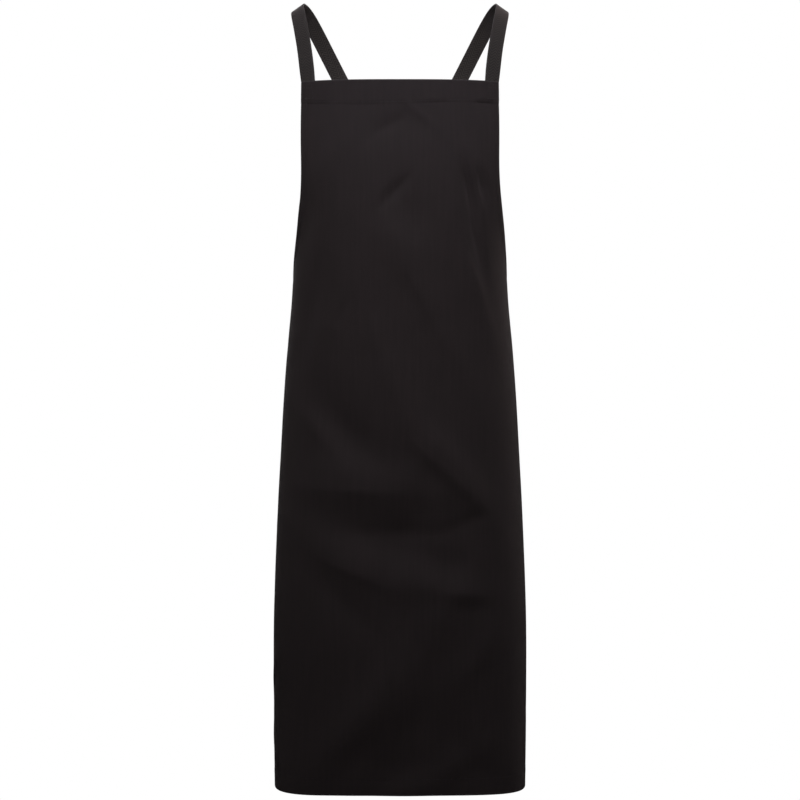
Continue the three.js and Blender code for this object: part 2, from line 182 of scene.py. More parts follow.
# Small creases all over the cloth: how many, their ranges and how high they stand
CRUMPLE_COUNT = 90
CRUMPLE_SPREAD = 440  # to each side of the middle of the front
CRUMPLE_DROPS = (60, 980)
CRUMPLE_LENGTHS = (16, 60)
CRUMPLE_BREADTHS = (5, 13)
CRUMPLE_RISE = 0.35
CRUMPLE_SEED = 11

# Seams
FOLD_RADIUS = CLOTH + GAP / 2  # outside the cloth that turns under at an edge
STITCH_INSET = 1.8  # from a hem's inner edge to its stitches
SINKS = {"top": 1.3, "side": 0.25, "bottom": 0.1}  # how far the cloth steps in past a hem
SINK_BEFORE, SINK_AFTER = 1.7, 1.3  # how far that step reaches to each side of the hem's edge
SINK_REACH = 12  # how soon the cloth comes out again
GROOVES = {"top": 0.5, "side": 0.16, "bottom": 0.05}  # how deep the stitches pull in
GROOVE_WIDTH = 1.1
PUCKER = 0.22  # height of the ripples along a seam
PUCKER_REACH = 7
PUCKER_PITCH = 9.3
PUCKER_DRIFT, PUCKER_DRIFT_PITCH = 2.1, 61  # how the ripples crowd and spread
PUCKER_FADE, PUCKER_FADE_PITCH = 0.4, 37  # how they come and go
PUCKER_SHIFTS = {"top": 31, "side": 57, "bottom": 83}
BAND_WAVE = 1.9  # how far the band's seam wanders up and down
BAND_WAVE_PITCH = 300
BAND_WAVE_SHIFT = 115
BAND_SLACK = 0.45  # how deep the band's seam lies between its pulls, as a share
# Where that seam pulls in: u, half length and further share
BAND_PULLS = [(-117, 15, 0.6), (-50, 26, 0.5), (52, 17, 0.8), (121, 14, 1.7)]


def smoothstep(low, high, value):
    t = np.clip((value - low) / (high - low), 0, 1)
    return t * t * (3 - 2 * t)


def mix(start, end, share):
    return start + (end - start) * share


def unit(vectors):
    return vectors / np.linalg.norm(vectors, axis=-1, keepdims=True)


# The form

STEPS_BEFORE = SECTIONS[[0, *range(len(SECTIONS) - 1)]]
STEPS_AFTER = SECTIONS[[*range(1, len(SECTIONS)), len(SECTIONS) - 1]]
SLOPES = (STEPS_AFTER - STEPS_BEFORE) / (STEPS_AFTER[:, :1] - STEPS_BEFORE[:, :1])


def section_values(z):
    """Half width, front depth, back depth and squareness at each height."""
    drop = np.clip((Z_TOP - np.asarray(z, float)) / BODY_LENGTH, 0, 1)
    after = np.clip(np.searchsorted(SECTIONS[:, 0], drop), 1, len(SECTIONS) - 1)
    start, end = SECTIONS[after - 1], SECTIONS[after]
    reach = end[..., :1] - start[..., :1]
    t = (drop[..., None] - start[..., :1]) / reach
    values = (
        start * (1 + 2 * t) * (1 - t) ** 2
        + SLOPES[after - 1] * reach * t * (1 - t) ** 2
        + end * t * t * (3 - 2 * t)
        + SLOPES[after] * reach * t * t * (t - 1)
    )
    _, wide, front, back, square = np.moveaxis(values, -1, 0)
    return wide * SPREAD / 2, front * FRONT_DEPTH, back * BACK_DEPTH, square


def section_point(angle, wide, front, back, square):
    """Places on half a section at an angle from the middle of the front."""
    sin, cos = np.maximum(np.sin(angle), 0), np.cos(angle)
    deep = np.where(cos > 0, front, back)
    reach = ((sin / wide) ** square + np.abs(cos / deep) ** square) ** (-1 / square)
    return reach * sin, -reach * cos


TABLE_STEP = 2.0
TABLE_BELOW, TABLE_ABOVE = 10, 24  # how far the table runs on past the cloth
TABLE_Z = np.arange(Z_HEM - TABLE_BELOW, Z_TOP + TABLE_ABOVE, TABLE_STEP)
TABLE_SHARES = np.linspace(0, 1, 1025)
TABLE_ANGLES = np.linspace(0, np.pi, 481)


def angle_table():
    """The girth of half of each section, and the angle at each share of that girth."""
    values = [value[:, None] for value in section_values(TABLE_Z)]
    x, y = section_point(TABLE_ANGLES[None], *values)
    steps = np.hypot(np.diff(x, axis=1), np.diff(y, axis=1))
    along = np.hstack([np.zeros((len(TABLE_Z), 1)), np.cumsum(steps, axis=1)])
    girths = along[:, -1]
    rows = []
    for row, girth in zip(along, girths):
        rows.append(np.interp(TABLE_SHARES * girth, row, TABLE_ANGLES))
    return girths, np.array(rows)


GIRTHS, ANGLES = angle_table()


def girth_at(z):
    """Half the girth of the worn form."""
    return np.interp(z, TABLE_Z, GIRTHS)


def angle_at(u, z):
    across = np.clip(np.abs(u) / girth_at(z), 0, 1) * (len(TABLE_SHARES) - 1)
    up = np.clip((z - TABLE_Z[0]) / TABLE_STEP, 0, len(TABLE_Z) - 1)
    i = np.minimum(across.astype(int), len(TABLE_SHARES) - 2)
    j = np.minimum(up.astype(int), len(TABLE_Z) - 2)
    a, b = across - i, up - j
    low = mix(ANGLES[j, i], ANGLES[j, i + 1], a)
    high = mix(ANGLES[j + 1, i], ANGLES[j + 1, i + 1], a)
    return mix(low, high, b)


def crumples():
    """Rows like those of FOLDS, the same in each run."""
    chance = np.random.default_rng(CRUMPLE_SEED)
    rows = []
    for _ in range(CRUMPLE_COUNT):
        u = chance.uniform(-CRUMPLE_SPREAD, CRUMPLE_SPREAD)
        drop = chance.uniform(*CRUMPLE_DROPS)
        turn = chance.uniform(-90, 90)
        length = chance.uniform(*CRUMPLE_LENGTHS)
        breadth = chance.uniform(*CRUMPLE_BREADTHS)
        rows.append((u, drop, turn, length, breadth, chance.normal(0, CRUMPLE_RISE)))
    return rows


ALL_FOLDS = np.array([row[1:] for row in FOLDS] + crumples())


def fold_rise(u, z):
    """How far the folds lift the cloth off the worn form."""
    rise = np.zeros(np.broadcast(u, z).shape)
    for at, drop, turn, length, breadth, height in ALL_FOLDS:
        cos, sin = math.cos(math.radians(turn)), math.sin(math.radians(turn))
        across, up = u - at, z - (Z_TOP - drop)
        along = (across * cos + up * sin) / length
        aside = (up * cos - across * sin) / breadth
        rise += height * np.exp(-along**2 - aside**2)
    behind = smoothstep(FLUTE_START, FLUTE_FULL, np.abs(u) / girth_at(z))
    low = smoothstep(0, Z_WING - Z_HEM, Z_WING - z)
    return rise + FLUTE_RISE * behind * low * np.cos(2 * np.pi * u / FLUTE_PITCH)


def body_point(u, z):
    """The outer face of the cloth at places in cloth coordinates."""
    wide, front, back, square = section_values(z)
    x, y = section_point(angle_at(u, z), wide, front, back, square)
    side = np.where(u < 0, -1, 1)
    deep = np.where(y < 0, front, back)
    out_x = side * (x / wide) ** (square - 1) / wide
    out_y = np.sign(y) * np.abs(y / deep) ** (square - 1) / deep
    out = unit(np.stack([out_x, out_y, np.zeros_like(x)], -1))
    return np.stack([side * x, y, z * np.ones_like(x)], -1) + out * fold_rise(u, z)[..., None]


def place(u, z):
    """Points on the outer face, and the direction away from the wearer at each."""
    u, z = np.broadcast_arrays(np.asarray(u, float), np.asarray(z, float))
    step = NORMAL_STEP
    sideways = body_point(u + step, z) - body_point(u - step, z)
    up = body_point(u, z + step) - body_point(u, z - step)
    return body_point(u, z), unit(np.cross(sideways, up))


def back_edge(z):
    """How far round the cloth reaches."""
    down = np.clip((Z_WING - z) / (Z_WING - Z_HEM), 0, 1)
    return girth_at(z) - (BACK_GAP + BACK_GAP_BELLY * np.sin(np.pi * down)) / 2


def band_wave(u):
    return BAND_WAVE * np.sin(2 * np.pi * (u + BAND_WAVE_SHIFT) / BAND_WAVE_PITCH)


def seam_relief(u, z, from_side):
    """How far the cloth stands out or lies in beside its seams."""
    from_top, from_bottom = Z_TOP - z - band_wave(u), z - Z_HEM
    pull = BAND_SLACK
    for at, reach, share in BAND_PULLS:
        pull = pull + share * np.exp(-(((u - at) / reach) ** 4))
    down_side = np.abs(u) - z + PUCKER_SHIFTS["side"] * np.sign(u)
    seams = [
        (from_top, BIB_HEM, SINKS["top"] * pull, u + PUCKER_SHIFTS["top"], GROOVES["top"] * pull),
        (from_side, SIDE_HEM, SINKS["side"], down_side, GROOVES["side"]),
        (from_bottom, BOTTOM_HEM, SINKS["bottom"], u + PUCKER_SHIFTS["bottom"], GROOVES["bottom"]),
    ]
    relief = 0
    for inset, width, sink, along, groove in seams:
        past = np.maximum(inset - width, 0)
        step = smoothstep(width - SINK_BEFORE, width + SINK_AFTER, inset)
        relief = relief - sink * step * np.exp(-past / SINK_REACH)
        stitched = inset - (width - STITCH_INSET)
        relief = relief - groove * np.exp(-((stitched / GROOVE_WIDTH) ** 2))
        drift = PUCKER_DRIFT * np.sin(2 * np.pi * along / PUCKER_DRIFT_PITCH)
        ripple = np.sin(2 * np.pi * along / PUCKER_PITCH + drift)
        fade = np.sin(2 * np.pi * along / PUCKER_FADE_PITCH)
        ripple = ripple * (1 - PUCKER_FADE + PUCKER_FADE * fade)
        relief = relief + PUCKER * ripple * np.exp(-((stitched / PUCKER_REACH) ** 2))
    return relief


def cloth(u, z, from_side):
    """Points on the outer face with the relief of the seams, and their directions."""
    point, out = place(u, z)
    return point + out * seam_relief(np.asarray(u), np.asarray(z), from_side)[..., None], out


# Rows and columns of the cloth: how far they lie from its side edge, from the bib's top and
# from the hem, closest at the seams

STRIP = [1.35, 3, 5, 7, 8.6, 9.6, 10.2, 10.8, 11.4, 12, 12.7, 13.5, 15, 19]
TOP_ROWS = [
    1.35, 3, 5.5, 8.5, 12, 15.5, 19, 22.5, 25.5, 28, 29.6, 30.5, 31.2, 31.9, 32.5, 33, 33.5, 34.1,
    35, 36.5, 39, 42, 45.5, 49.5, 54, 58.5, 63, 67.5, 72, 76.5, 81, 85.5, 90,
]
BOTTOM_ROWS = [
    40, 36, 32.5, 29.5, 27.6, 26.5, 25.8, 25.2, 24.6, 24, 23.2, 22.4, 21.2, 19, 16, 13, 10, 7, 4,
    1.35,
]
CORNER_ROOM = 5  # kept free of rows beside a wing corner
ARMHOLE_STEPS = 66
SKIRT_STEPS = 130
INNER_COLUMNS = 70
FRONT_CROWD = 0.22  # how much closer the columns lie in the middle of the front


def armhole_edge(share, wing):
    """Edge places on the armhole, and the direction from them into the cloth."""
    crowded = share - ROW_CROWD * np.sin(2 * np.pi * share) / (2 * np.pi)
    angle = crowded * np.pi / 2
    reach = wing - BIB_WIDTH / 2
    aside = np.cos(angle) ** (2 / ARMHOLE_SQUARE)
    down = np.sin(angle) ** (2 / ARMHOLE_SQUARE)
    inward_u = -(aside ** (ARMHOLE_SQUARE - 1)) / reach
    inward_z = -(down ** (ARMHOLE_SQUARE - 1)) / ARMHOLE_DROP
    size = math.hypot(inward_u, inward_z)
    edge = (wing - reach * aside, Z_ARMHOLE - ARMHOLE_DROP * down)
    return edge, (inward_u / size, inward_z / size)


def cloth_rows():
    """Each row's edge, its direction into the cloth and the height of its middle."""
    rows = [((BIB_WIDTH / 2, Z_TOP - t), (-1, 0), Z_TOP - t) for t in TOP_ROWS]
    reach = STRIP[-1]
    wing = float(back_edge(Z_WING))
    wing_middle = Z_WING - reach - ROW_DIP * ARMHOLE_DROP
    for share in np.arange(ARMHOLE_STEPS) / ARMHOLE_STEPS:
        edge, inward = armhole_edge(share, wing)
        if edge[0] < wing - reach - CORNER_ROOM:
            rows.append((edge, inward, mix(Z_ARMHOLE, wing_middle, share)))
    rows.append(((wing, Z_WING), (-1, -1), wing_middle))
    bottom_row = Z_HEM + BOTTOM_ROWS[0]
    skirt_top = Z_WING - reach - CORNER_ROOM
    for z in np.linspace(skirt_top, bottom_row, SKIRT_STEPS, endpoint=False):
        share = (Z_WING - reach - z) / (Z_WING - reach - bottom_row)
        rows.append(((float(back_edge(z)), z), (-1, 0), mix(wing_middle, bottom_row, share)))
    for t in BOTTOM_ROWS:
        rows.append(((float(back_edge(Z_HEM + t)), Z_HEM + t), (-1, 0), Z_HEM + t))
    return rows


def panel_grid(rows):
    """Cloth coordinates and distance from the side edge of every vertex of the body."""
    edges = np.array([row[0] for row in rows])
    inward = np.array([row[1] for row in rows], float)
    middle = np.array([row[2] for row in rows])
    strip = edges[:, None] + inward[:, None] * np.array(STRIP)[None, :, None]
    strip_depth = np.tile(STRIP, (len(rows), 1))
    inner = strip[:, -1]
    t = np.linspace(1, 0, INNER_COLUMNS + 1)[1:]
    share = t * (1 - FRONT_CROWD * (1 - t**2))
    u = inner[:, :1] * share
    z = mix(middle[:, None], inner[:, 1:], share**2)
    across = (u - inner[:, :1]) * inward[:, :1] + (z - inner[:, 1:]) * inward[:, 1:]
    depth = STRIP[-1] + np.maximum(across, 0)
    left_u = np.hstack([strip[..., 0], u])
    left_z = np.hstack([strip[..., 1], z])
    left_depth = np.hstack([strip_depth, depth])
    mirror = slice(-2, None, -1)
    grid_u = np.hstack([-left_u, left_u[:, mirror]])
    grid_z = np.hstack([left_z, left_z[:, mirror]])
    return grid_u, grid_z, np.hstack([left_depth, left_depth[:, mirror]])


# Meshes

EDGE_WEAR_AND_HIGHLIGHT = 0.35  # share of the lighter colour beside the fold of an edge, partly wear and partly a painted highlight
WEAR_AND_HIGHLIGHT_RADIUS = 0.5  # a tighter turn than this is hidden and gets neither wear nor the painted highlight


def rim_loop(rows, columns):
    """The grid's boundary, clockwise as seen from outside."""
    top = [(0, c) for c in range(columns - 1)]
    right = [(r, columns - 1) for r in range(rows - 1)]
    bottom = [(rows - 1, c) for c in range(columns - 1, 0, -1)]
    left = [(r, 0) for r in range(rows - 1, 0, -1)]
    return np.array(top + right + bottom + left)


def solid_cloth(points, outs, flat, near, far, rim):
    """A closed wall of cloth under a grid, between two depths. rim lists the turns of its edge,
    each an angle and a radius about the middle of the fold, and that middle's depth."""
    rows, columns = points.shape[:2]
    loop = rim_loop(rows, columns)
    at = points[loop[:, 0], loop[:, 1]]
    out = outs[loop[:, 0], loop[:, 1]]
    ahead, behind = np.roll(at, -1, 0), np.roll(at, 1, 0)
    aside = unit(np.cross(out, unit(ahead - behind)))
    flat_at = flat[loop[:, 0], loop[:, 1]]
    flat_along = np.roll(flat_at, -1, 0) - np.roll(flat_at, 1, 0)
    flat_aside = unit(np.stack([-flat_along[:, 1], flat_along[:, 0]], -1))
    turns, depth = rim
    rings, ring_flat, ring_wear_and_highlight = [], [], []
    for degrees, radius in turns:
        turn = math.radians(degrees)
        middle = at - out * depth
        rings.append(middle + radius * (out * math.cos(turn) + aside * math.sin(turn)))
        ring_flat.append(flat_at + flat_aside * radius * turn)
        # The turn of the edge is painted lighter towards its outermost point: partly wear, partly a
        # painted highlight.
        ring_wear_and_highlight.append(np.full(len(loop), max(math.sin(turn), 0) if radius > WEAR_AND_HIGHLIGHT_RADIUS else 0))
    count = rows * columns
    grid = np.arange(count).reshape(rows, columns)
    near_loop = grid[loop[:, 0], loop[:, 1]]
    bands = [near_loop]
    for i in range(len(turns)):
        bands.append(2 * count + i * len(loop) + np.arange(len(loop)))
    bands.append(near_loop + count)
    quads = np.stack([grid[:-1, :-1], grid[1:, :-1], grid[1:, 1:], grid[:-1, 1:]], -1)
    quads = quads.reshape(-1, 4)
    faces = [quads, quads[:, ::-1] + count]
    for first, second in zip(bands, bands[1:]):
        faces.append(np.stack([first, np.roll(first, -1), np.roll(second, -1), second], -1))
    # The outer face is painted lighter along its edge: wear and a painted highlight.
    wear_and_highlight_grid = np.zeros(2 * count)
    wear_and_highlight_grid[near_loop] = EDGE_WEAR_AND_HIGHLIGHT
    outer_face = (points - outs * near).reshape(-1, 3)
    inner_face = (points - outs * far).reshape(-1, 3)
    vertices = np.vstack([outer_face, inner_face, *rings])
    uv = np.vstack([flat.reshape(-1, 2), flat.reshape(-1, 2), *ring_flat])
    return vertices, np.vstack(faces).tolist(), uv, np.concatenate([wear_and_highlight_grid, *ring_wear_and_highlight])


def turned_edge():
    """The body's cloth turns under at its edge, with the hem inside it."""
    outer = [(degrees, FOLD_RADIUS) for degrees in (22, 45, 67, 90, 112, 135, 158, 180)]
    inner = [(degrees, FOLD_RADIUS - CLOTH) for degrees in (180, 90)]
    return outer + inner, FOLD_RADIUS


def round_edge(near, far):
    """A plain rounded edge between two depths."""
    radius = (far - near) / 2
    return [(degrees, radius) for degrees in (30, 60, 90, 120, 150)], (near + far) / 2


def make(name, vertices, faces, uv, wear_and_highlight, material, slot, stands_for=()):
    """A piece on root, from millimetres, with its cloth coordinates and the wear and painted
    highlight at each corner.
    """
    mesh = bpy.data.meshes.new(name)
    mesh.from_pydata((vertices * 0.001).tolist(), [], faces)
    mesh.polygons.foreach_set("use_smooth", np.ones(len(mesh.polygons), bool))
    corners = np.zeros(len(mesh.loops), int)
    mesh.loops.foreach_get("vertex_index", corners)
    layer = mesh.uv_layers.new(name="flat")
    layer.data.foreach_set("uv", (uv[corners] * 0.001).astype(np.float32).ravel())
    worn_and_highlit = mesh.attributes.new("wear_and_highlight", "FLOAT", "POINT")
    worn_and_highlit.data.foreach_set("value", wear_and_highlight.astype(np.float32))
    mesh.materials.append(material)
    mesh.update()
    piece = bpy.data.objects.new(name, mesh)
    bpy.context.collection.objects.link(piece)
    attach(piece, "root")
    if stands_for:
        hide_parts(*stands_for)
    return piece


# Materials

BASE_SHADE = 0.72  # of the base colour, before streaks and broad shading
STREAK_SHADE = 0.3
BROAD_SHADE, BROAD_SCALE = 0.18, 0.018
SLUB_SCALE = 1.7
SLUB_WEAR_AND_HIGHLIGHT = 1.5  # how much of the lighter colour of wear and painted highlight shows on a slub
SLUB_BUMP = 0.5
RIB_GLOSS = 0.08  # how much smoother a rib is than the grooves beside it
BUMP_STRENGTH = 0.7
SPECULAR = 0.16
SHEEN_ROUGHNESS = 0.55
SHEEN_TINT = (1, 0.84, 0.82, 1)
TWILL_PITCH, TWILL_SLOPE = 1.05, 0.55
WARP_PITCH, WARP_SHARE = 0.42, 0.3
HERRING_WIDTH, HERRING_PITCH, HERRING_SHIFT = 5.6, 4.2, 45
TAPE_THREAD_PITCH, TAPE_THREAD_SHARE = 0.5, 0.25
THREAD_TWIST_PITCH = 0.5


def add(tree, kind, inputs=(), **settings):
    """Adds a node whose inputs are values or other nodes' outputs, and gives its output."""
    node = tree.nodes.new(kind)
    for key, value in settings.items():
        setattr(node, key, value)
    for key, value in dict(inputs).items():
        if isinstance(value, bpy.types.NodeSocket):
            tree.links.new(value, node.inputs[key])
        else:
            node.inputs[key].default_value = value
    return node.outputs[0]


def math_node(tree, operation, *values):
    return add(tree, "ShaderNodeMath", dict(enumerate(values)), operation=operation)


def stripes(tree, value, pitch):
    """A wave of that pitch, from 0 to 1."""
    wave = math_node(tree, "SINE", math_node(tree, "MULTIPLY", value, 2 * math.pi / pitch))
    return math_node(tree, "MULTIPLY_ADD", wave, 0.5, 0.5)


def cloth_finish(name, weave, contrast, base, worn_and_highlit, streak, roughness, sheen, relief):
    """A woven cotton. weave adds the nodes of its pattern and gives its height from 0 to 1,
    contrast is how far that height shades it, streak scales the streaks across and along the
    cloth, and relief is the depth of its bump."""
    material = bpy.data.materials.new(name)
    material.use_nodes = True
    tree = material.node_tree
    shader = tree.nodes["Principled BSDF"]
    flat = add(tree, "ShaderNodeUVMap", uv_map="flat")
    flat = add(tree, "ShaderNodeVectorMath", {0: flat, "Scale": 1000}, operation="SCALE")
    split = tree.nodes.new("ShaderNodeSeparateXYZ")
    tree.links.new(flat, split.inputs[0])
    height = weave(tree, split.outputs[0], split.outputs[1])
    streaked = add(tree, "ShaderNodeVectorMath", {0: flat, 1: streak}, operation="MULTIPLY")
    streaks = add(tree, "ShaderNodeTexNoise", {"Vector": streaked, "Scale": 1, "Detail": 3})
    broad = add(tree, "ShaderNodeTexNoise", {"Vector": flat, "Scale": BROAD_SCALE, "Detail": 2})
    slub = add(tree, "ShaderNodeTexNoise", {"Vector": flat, "Scale": SLUB_SCALE, "Detail": 2})
    shade = math_node(tree, "MULTIPLY_ADD", height, contrast, BASE_SHADE - contrast / 2)
    shade = math_node(tree, "MULTIPLY_ADD", streaks, STREAK_SHADE, shade)
    shade = math_node(tree, "MULTIPLY_ADD", broad, BROAD_SHADE, shade)
    dark = add(tree, "ShaderNodeVectorMath", {0: base, "Scale": shade}, operation="SCALE")
    # The lighter colour mixed in along the edges is partly wear and partly a painted highlight.
    wear_and_highlight = tree.nodes.new("ShaderNodeAttribute")
    wear_and_highlight.attribute_name = "wear_and_highlight"
    on_slubs = math_node(tree, "MULTIPLY", slub, SLUB_WEAR_AND_HIGHLIGHT)
    worn_and_highlit_share = math_node(tree, "MULTIPLY", wear_and_highlight.outputs["Fac"], on_slubs)
    colour = tree.nodes.new("ShaderNodeMix")
    colour.data_type = "RGBA"
    tree.links.new(worn_and_highlit_share, colour.inputs[0])
    tree.links.new(dark, colour.inputs[6])
    colour.inputs[7].default_value = (*worn_and_highlit, 1)
    tree.links.new(colour.outputs[2], shader.inputs["Base Color"])
    rough = math_node(tree, "MULTIPLY_ADD", height, -RIB_GLOSS, roughness)
    tree.links.new(rough, shader.inputs["Roughness"])
    bumped = math_node(tree, "MULTIPLY_ADD", slub, SLUB_BUMP, height)
    depth = {"Height": bumped, "Distance": relief * 0.001, "Strength": BUMP_STRENGTH}
    bump = add(tree, "ShaderNodeBump", depth)
    tree.links.new(bump, shader.inputs["Normal"])
    shader.inputs["Specular IOR Level"].default_value = SPECULAR
    shader.inputs["Sheen Weight"].default_value = sheen
    shader.inputs["Sheen Roughness"].default_value = SHEEN_ROUGHNESS
    shader.inputs["Sheen Tint"].default_value = SHEEN_TINT
    return material


def twill(tree, u, z):
    """Steep diagonal ribs crossed by fine warp threads."""
    diagonal = math_node(tree, "MULTIPLY_ADD", z, TWILL_SLOPE, u)
    ribs = math_node(tree, "MULTIPLY", stripes(tree, diagonal, TWILL_PITCH), 1 - WARP_SHARE)
    return math_node(tree, "MULTIPLY_ADD", stripes(tree, u, WARP_PITCH), WARP_SHARE, ribs)


def herringbone(tree, across, along):
    """Diagonal ribs that turn back on themselves across the tape."""
    shifted = math_node(tree, "ADD", across, HERRING_SHIFT)
    folded = math_node(tree, "PINGPONG", shifted, HERRING_WIDTH)
    ribs = stripes(tree, math_node(tree, "ADD", folded, along), HERRING_PITCH)
    ribs = math_node(tree, "MULTIPLY", ribs, 1 - TAPE_THREAD_SHARE)
    threads = stripes(tree, across, TAPE_THREAD_PITCH)
    return math_node(tree, "MULTIPLY_ADD", threads, TAPE_THREAD_SHARE, ribs)


def twist(tree, across, along):
    """The strands of a sewing thread."""
    return stripes(tree, math_node(tree, "ADD", across, along), THREAD_TWIST_PITCH)


twill_cotton = cloth_finish(
    "black_twill",
    twill,
    contrast=0.34,
    base=(0.0226, 0.0168, 0.0168),
    worn_and_highlit=(0.053, 0.045, 0.0465),
    streak=(0.26, 0.012, 1),
    roughness=0.9,
    sheen=0.1,
    relief=0.16,
)
tape_cotton = cloth_finish(
    "herringbone_tape",
    herringbone,
    contrast=0.95,
    base=(0.0312, 0.0262, 0.0238),
    worn_and_highlit=(0.05, 0.044, 0.041),
    streak=(0.3, 0.05, 1),
    roughness=0.86,
    sheen=0.15,
    relief=0.3,
)
thread = cloth_finish(
    "thread",
    twist,
    contrast=0.34,
    base=(0.0165, 0.014, 0.015),
    worn_and_highlit=(0.02, 0.017, 0.018),
    streak=(1, 1, 1),
    roughness=0.7,
    sheen=0.1,
    relief=0.08,
)

# The body and its hems

ROWS = cloth_rows()
grid_u, grid_z, grid_side = panel_grid(ROWS)
points, outs = cloth(grid_u, grid_z, grid_side)
body = make(
    "apron_body",
    *solid_cloth(points, outs, np.stack([grid_u, grid_z], -1), 0, CLOTH, turned_edge()),
    twill_cotton,
    "cloth",
    ["body_panel"],
)

HEM_NEAR = CLOTH + GAP
HEM_FAR = HEM_NEAR + CLOTH
HEM_ROUND = CLOTH / 2
HEM_INSET = FOLD_RADIUS + HEM_ROUND + 0.05  # keeps a hem inside the fold of the edge
HEM_INSETS = 9
CROSS_HEM_COLUMNS = 121


def make_hem(name, u, z, from_side, node):
    at, out = cloth(u, z, from_side)
    rim = round_edge(HEM_NEAR, HEM_FAR)
    parts = solid_cloth(at, out, np.stack([u, z], -1), HEM_NEAR, HEM_FAR, rim)
    return make(name, *parts, twill_cotton, "cloth", [node])


def cross_hem(insets, edge_of, height_of):
    """Cloth coordinates of a hem across the apron, whose ends stop inside the side folds."""
    shares = np.linspace(-1, 1, CROSS_HEM_COLUMNS)
    heights = np.array([height_of(inset) for inset in insets])
    reach = np.array([edge_of(z) for z in heights]) - HEM_INSET
    u = reach[:, None] * shares[None]
    return u, heights[:, None] * np.ones_like(u), reach[:, None] + HEM_INSET - np.abs(u)


def hem_insets(width):
    return np.linspace(HEM_INSET, width - HEM_ROUND, HEM_INSETS)


def shorten(coords, clearance):
    """Pulls the first and last row of a strip in along it."""
    coords = coords.copy()
    for end, beside in ((0, 1), (-1, -2)):
        step = coords[beside] - coords[end]
        coords[end] += step * clearance / np.linalg.norm(step, axis=-1, keepdims=True)
    return coords


def side_hem(first, last, side):
    """Cloth coordinates of a side hem, from one row to another."""
    insets = hem_insets(SIDE_HEM)
    edges = np.array([row[0] for row in ROWS[first:last]])
    inward = np.array([row[1] for row in ROWS[first:last]], float)
    strip = shorten(edges[:, None] + inward[:, None] * insets[None, :, None], GAP / 2 + HEM_ROUND)
    if side < 0:
        u, z = -strip[..., 0], strip[..., 1]
        return u, z, np.tile(insets, (len(edges), 1))
    strip = strip[:, ::-1]
    return strip[..., 0], strip[..., 1], np.tile(insets[::-1], (len(edges), 1))


bib_u, bib_z, bib_side = cross_hem(hem_insets(BIB_HEM), lambda z: BIB_WIDTH / 2, lambda t: Z_TOP - t)
bib_z = bib_z - band_wave(bib_u) * (Z_TOP - bib_z) / BIB_HEM
bottom_u, bottom_z, bottom_side = cross_hem(
    hem_insets(BOTTOM_HEM)[::-1], lambda z: float(back_edge(z)), lambda t: Z_HEM + t
)
hems = [
    make_hem("bib_turned_hem", bib_u, bib_z, bib_side, "bib_hem"),
    make_hem("bottom_turned_hem", bottom_u, bottom_z, bottom_side, "bottom_hem"),
]
corner_row = next(i for i, row in enumerate(ROWS) if row[1] == (-1, -1))
first_row = next(i for i, t in enumerate(TOP_ROWS) if t > BIB_HEM)
last_row = len(ROWS) - next(i for i, t in enumerate(BOTTOM_ROWS[::-1]) if t > BOTTOM_HEM)
for hand, side in (("left", 1), ("right", -1)):
    armhole = side_hem(first_row, corner_row + 1, side)
    back = side_hem(corner_row, last_row + 1, side)
    hems.append(make_hem(f"armhole_turned_hem_{hand}", *armhole, f"armhole_hem_{hand}"))
    hems.append(make_hem(f"back_turned_hem_{hand}", *back, f"back_hem_{hand}"))

# Straps

ARCH_STEPS = 48
ARCH_SAMPLES = 400
TUCK_STEPS = 9
CROSS_FLAT = 1.5  # how far below their crossing the straps lie flat, in strap widths
STRAP_STEP = 3.0
STRAP_SMOOTH = 7.0  # spread of the smoothing along a strap
SMOOTH_STEPS = 8  # to each side
TAPE_FACE = 0.93  # from the tape's middle to its face, under the stitches
# The tape's outline across one face and round one edge: place across, height
TAPE_OUTER = [
    (-10.5, 0.93), (-9.3, 1.0), (-7, 0.93), (-3.5, 0.9), (0, 0.9),
    (3.5, 0.9), (7, 0.93), (9.3, 1.0), (10.5, 0.93),
]
TAPE_EDGE = [(11.1, 0.62), (11.25, 0.0), (11.1, -0.62)]
TAPE_OUTLINE = TAPE_OUTER + TAPE_EDGE
# Slow ripples of the free tape: rise, and length for each radian
TAPE_LONG_RIPPLE = (0.12, 17)
TAPE_SHORT_RIPPLE = (0.08, 7.3)
RIPPLE_START, RIPPLE_FULL = 20, 60  # from a strap's ends
# Lighter towards the tape's edges, partly wear and partly a painted highlight on the raised edges:
# from that place across outwards, and how much
TAPE_RIM_FROM, TAPE_RIM_WEAR_AND_HIGHLIGHT = 10.8, 0.6
TAPE_SIDE_FROM, TAPE_SIDE_WEAR_AND_HIGHLIGHT = 9, 0.2


def lengths_along(line):
    return np.concatenate([[0], np.cumsum(np.linalg.norm(np.diff(line, axis=0), axis=1))])


def read_off(where, lengths, values):
    """Values with three parts at lengths along a line."""
    return np.stack([np.interp(where, lengths, values[:, i]) for i in range(3)], -1)


def sewn(u, z):
    """The middle of a strap where it is sewn behind the cloth, and the way it faces."""
    point, out = cloth(np.array([u]), np.array([z]), np.array([SIDE_HEM / 2]))
    depth = 2 * (CLOTH + GAP) + STRAP_SEAT + STRAP_THICKNESS / 2
    return point[0] - out[0] * depth, out[0]


def arch(top, end, direction, sway):
    """Stations on the round of the shoulder, from its top to a straight stretch."""
    reach = np.linalg.norm(top[0] - end[0]) * ARCH_PULL
    shoulder = np.array([mix(top[0][0], end[0][0], sway), end[0][1] * ARCH_PULL, top[0][2]])
    t = np.linspace(0, 1, ARCH_SAMPLES)[:, None]
    curve = (
        top[0] * (1 - t) ** 3
        + shoulder * 3 * t * (1 - t) ** 2
        + (end[0] - direction * reach) * 3 * t**2 * (1 - t)
        + end[0] * t**3
    )
    along = lengths_along(curve)
    stations = []
    for share in np.linspace(0, 1, ARCH_STEPS + 1):
        point = read_off(share * along[-1], along, curve)
        stations.append((point, mix(top[1], end[1], share**0.5)))
    return stations


